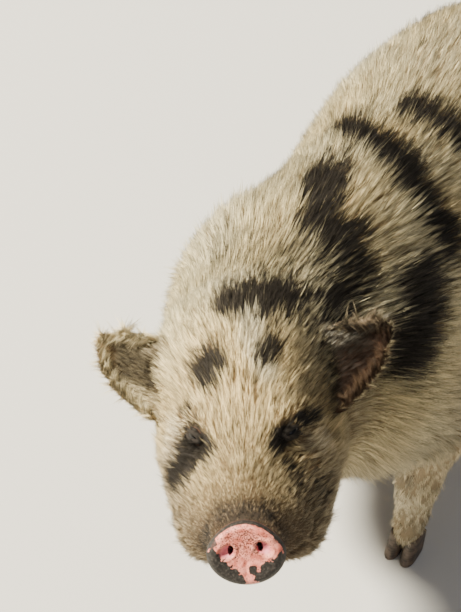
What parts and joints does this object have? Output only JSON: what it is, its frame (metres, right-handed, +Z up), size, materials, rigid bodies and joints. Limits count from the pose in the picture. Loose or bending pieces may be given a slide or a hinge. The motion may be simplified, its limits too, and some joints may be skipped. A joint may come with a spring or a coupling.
{
  "type": "pig",
  "caption": "Still, life-size model of a stout spotted short-nosed pig, standing square, its head raised and turned to its left.",
  "frame": {"origin": "on the floor, under the middle of the outline", "axes": "+Z up, nose towards -Y, the animal's own left on +X"},
  "size_m": [0.3622, 1.0558, 0.5305],
  "materials": {
    "coat": "bristly cream hair with soft black spots over pale skin",
    "snout_skin": "bare moist pink skin with dark pigment",
    "eye": "wet dark brown",
    "hoof": "dull dark horn"
  },
  "bodies": {
    "root": {"dewclaw_front_left_inner": "hoof", "dewclaw_front_left_outer": "hoof", "dewclaw_front_right_inner": "hoof", "dewclaw_front_right_outer": "hoof", "dewclaw_hind_left_inner": "hoof", "dewclaw_hind_left_outer": "hoof", "dewclaw_hind_right_inner": "hoof", "dewclaw_hind_right_outer": "hoof", "ear_left": "coat", "ear_right": "coat", "eye_left": "eye", "eye_right": "eye", "head": "coat", "hoof_front_left_inner": "hoof", "hoof_front_left_outer": "hoof", "hoof_front_right_inner": "hoof", "hoof_front_right_outer": "hoof", "hoof_hind_left_inner": "hoof", "hoof_hind_left_outer": "hoof", "hoof_hind_right_inner": "hoof", "hoof_hind_right_outer": "hoof", "jaw_lower": "coat", "leg_front_left": "coat", "leg_front_right": "coat", "leg_hind_left": "coat", "leg_hind_right": "coat", "neck": "coat", "snout": "snout_skin", "tail": "coat", "trunk": "coat"}
  },
  "joints": []
}
